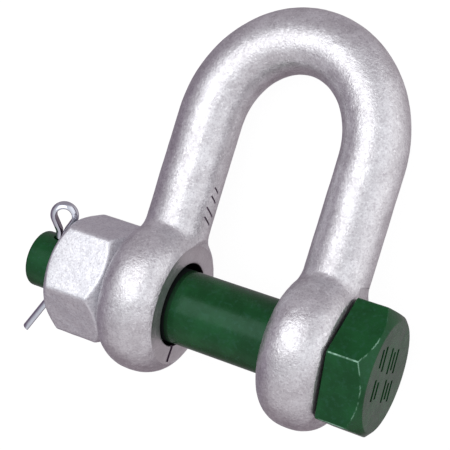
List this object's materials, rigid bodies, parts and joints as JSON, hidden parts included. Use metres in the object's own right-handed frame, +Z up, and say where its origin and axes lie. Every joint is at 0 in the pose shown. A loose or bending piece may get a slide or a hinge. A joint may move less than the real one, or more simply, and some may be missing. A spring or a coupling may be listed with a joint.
{
  "type": "dee shackle with safety bolt",
  "caption": "Forged galvanised dee shackle: round D-shaped bow with two barrel eyes, painted hexagon-head bolt, thick chamfered nut and split pin.",
  "frame": {"origin": "on the floor that the shackle lies on, under the middle of its bounding box", "axes": "+X along the bolt towards its head, +Y from the bolt towards the crown, +Z up from the floor"},
  "size_m": [0.1318, 0.1314, 0.052],
  "materials": {
    "galvanised_bow": "hot-dip galvanised, silvery, slightly mottled",
    "green_paint": "dark green gloss paint, thin at the edges",
    "galvanised_nut": "galvanised, pale, finely grained",
    "bright_zinc": "bright zinc plate"
  },
  "bodies": {
    "shackle_body": {"shackle_body": "galvanised_bow"},
    "bolt": {"bolt": "green_paint"},
    "nut": {"nut": "galvanised_nut"},
    "split_pin": {"split_pin": "bright_zinc"}
  },
  "joints": [
    {"name": "bolt_turn", "type": "hinge", "parent": "shackle_body", "child": "bolt", "pos_m": [0.01183, -0.03913, 0.02607], "axis": [-1, 0, 0], "range_deg": [-90, 30]},
    {"name": "nut_travel", "type": "slide", "parent": "shackle_body", "child": "nut", "axis": [1, 0, 0], "range_m": [-0.00076, 0.00026]},
    {"name": "split_pin_slide", "type": "slide", "parent": "bolt", "child": "split_pin", "axis": [0, 0.983, 0.1834], "range_m": [-0.002, 0.0015]}
  ],
  "couplings": [
    {"joint": "nut_travel", "follows": "bolt_turn", "m_per_rad": 0.00047746}
  ]
}
